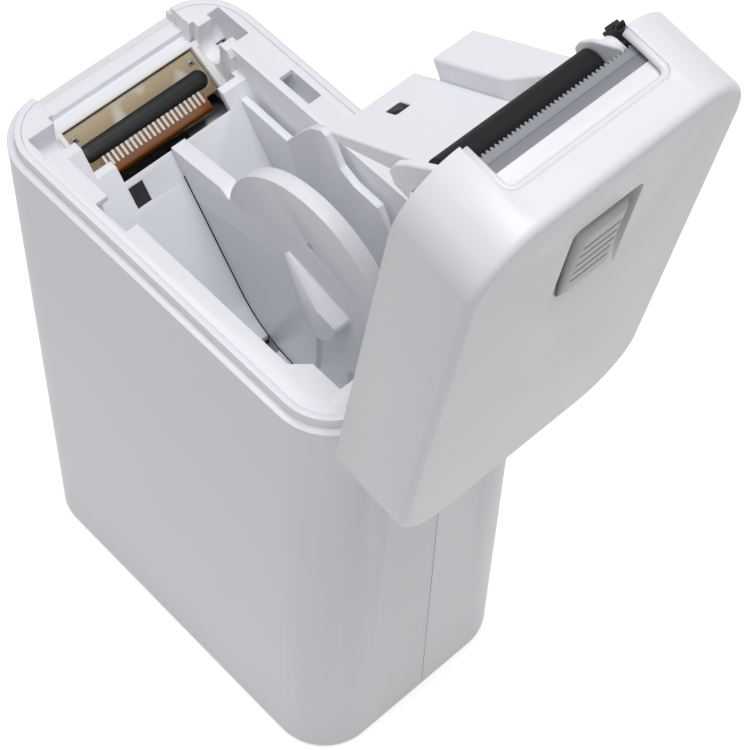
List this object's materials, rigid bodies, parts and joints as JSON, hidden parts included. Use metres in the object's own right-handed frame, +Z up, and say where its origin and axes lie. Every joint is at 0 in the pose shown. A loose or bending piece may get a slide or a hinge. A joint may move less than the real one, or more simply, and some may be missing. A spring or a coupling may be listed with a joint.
{
  "type": "portable label printer",
  "caption": "Tall hand-size thermal label printer, its cover standing open over the roll bay, with print head, platen, roll guides, tear bar and release slider.",
  "frame": {"origin": "middle of the rubber mat on the underside, on the surface that the printer stands on", "axes": "+X across the paper, +Y towards the cover hinge, +Z up"},
  "size_m": [0.08, 0.1779, 0.3083],
  "materials": {
    "shell_white": "satin white moulding",
    "tray_white": "fine matt white moulding",
    "frame_white": "warm white moulding",
    "guide_white": "matt white moulding",
    "grey_plastic": "ribbed grey moulding",
    "black_plastic": "matt black",
    "dark_lens": "dark glossy window",
    "clear_light": "clear light guide",
    "platen_rubber": "dark rubber",
    "mat_rubber": "grey rubber",
    "steel": "turned steel",
    "spring_steel": "spring wire",
    "tear_steel": "stamped sheet",
    "aluminium": "plain aluminium",
    "ceramic_tan": "glazed ceramic",
    "epoxy_black": "shiny sealing resin",
    "pad_tin": "tinned contacts",
    "flex_orange": "orange film",
    "gear_white": "nylon",
    "board_green": "coated board",
    "cell_blue": "shrink sleeve",
    "button_grey": "light grey"
  },
  "bodies": {
    "base": {"case_right": "shell_white", "case_left": "shell_white", "bottom_cover": "shell_white", "foot_mat": "mat_rubber", "cover_screws": "steel", "rim_frame": "tray_white", "hinge_pins": "steel", "tray": "tray_white", "gap_sensor": "dark_lens", "guide_fixed": "guide_white", "guide_rail": "steel", "head_frame": "frame_white", "head_pin": "steel", "head_springs": "spring_steel", "gear_pins": "steel", "gear_plate": "steel", "motor": "steel", "main_board": "board_green", "usb_inlet": "steel", "battery_pack": "cell_blue", "switch_board": "board_green", "status_light": "clear_light"},
    "guide": {"guide_slide": "guide_white"},
    "head": {"head_ceramic": "ceramic_tan", "head_epoxy": "epoxy_black", "head_pads": "pad_tin", "head_sink": "aluminium", "head_flex": "flex_orange"},
    "idler": {"idler_gear": "gear_white"},
    "reduction": {"reduction_gear": "gear_white"},
    "pinion": {"motor_pinion": "steel"},
    "lid": {"lid_shell": "shell_white", "lid_chassis": "tray_white", "platen_bushes": "black_plastic", "exit_insert": "frame_white", "tear_bar": "tear_steel", "paper_chute": "tray_white", "chute_sensor": "dark_lens", "latch_spring": "spring_steel"},
    "release": {"release_slider": "grey_plastic", "latch_bar": "grey_plastic"},
    "platen": {"platen_shaft": "steel", "platen_rubber": "platen_rubber", "platen_gear": "gear_white"},
    "button": {"power_button": "button_grey"}
  },
  "joints": [
    {"name": "lid_hinge", "type": "hinge", "parent": "base", "child": "lid", "pos_m": [0, 0.0641, 0.1785], "axis": [1, 0, 0], "range_deg": [0, 97.66]},
    {"name": "release_slide", "type": "slide", "parent": "lid", "child": "release", "axis": [0, 0.014, -0.9999], "range_m": [0, 0.003], "stiffness_N_per_m": 250, "springref_m": -0.003, "deforming": ["latch_spring"]},
    {"name": "platen_spin", "type": "hinge", "parent": "lid", "child": "platen", "pos_m": [0, 0.08123, 0.29204], "axis": [1, 0, 0], "continuous": true},
    {"name": "guide_travel", "type": "slide", "parent": "base", "child": "guide", "axis": [1, 0, 0], "range_m": [0, 0.0215]},
    {"name": "head_pivot", "type": "hinge", "parent": "base", "child": "head", "pos_m": [0, -0.04955, 0.16761], "axis": [1, 0, 0], "range_deg": [0, 2], "stiffness_Nm_per_rad": 0.5, "springref_deg": -5.73, "deforming": ["head_springs"]},
    {"name": "idler_spin", "type": "hinge", "parent": "base", "child": "idler", "pos_m": [0, -0.05071, 0.16954], "axis": [1, 0, 0], "continuous": true},
    {"name": "reduction_spin", "type": "hinge", "parent": "base", "child": "reduction", "pos_m": [0, -0.05071, 0.15994], "axis": [1, 0, 0], "continuous": true},
    {"name": "motor_spin", "type": "hinge", "parent": "base", "child": "pinion", "pos_m": [0, -0.04531, 0.15059], "axis": [1, 0, 0], "continuous": true},
    {"name": "button_press", "type": "slide", "parent": "base", "child": "button", "axis": [0, 1, 0], "range_m": [0, 0.0008], "stiffness_N_per_m": 500, "springref_m": -0.0005}
  ],
  "couplings": [
    {"joint": "reduction_spin", "follows": "idler_spin", "ratio": -1.6667},
    {"joint": "motor_spin", "follows": "idler_spin", "ratio": 3.3333}
  ]
}
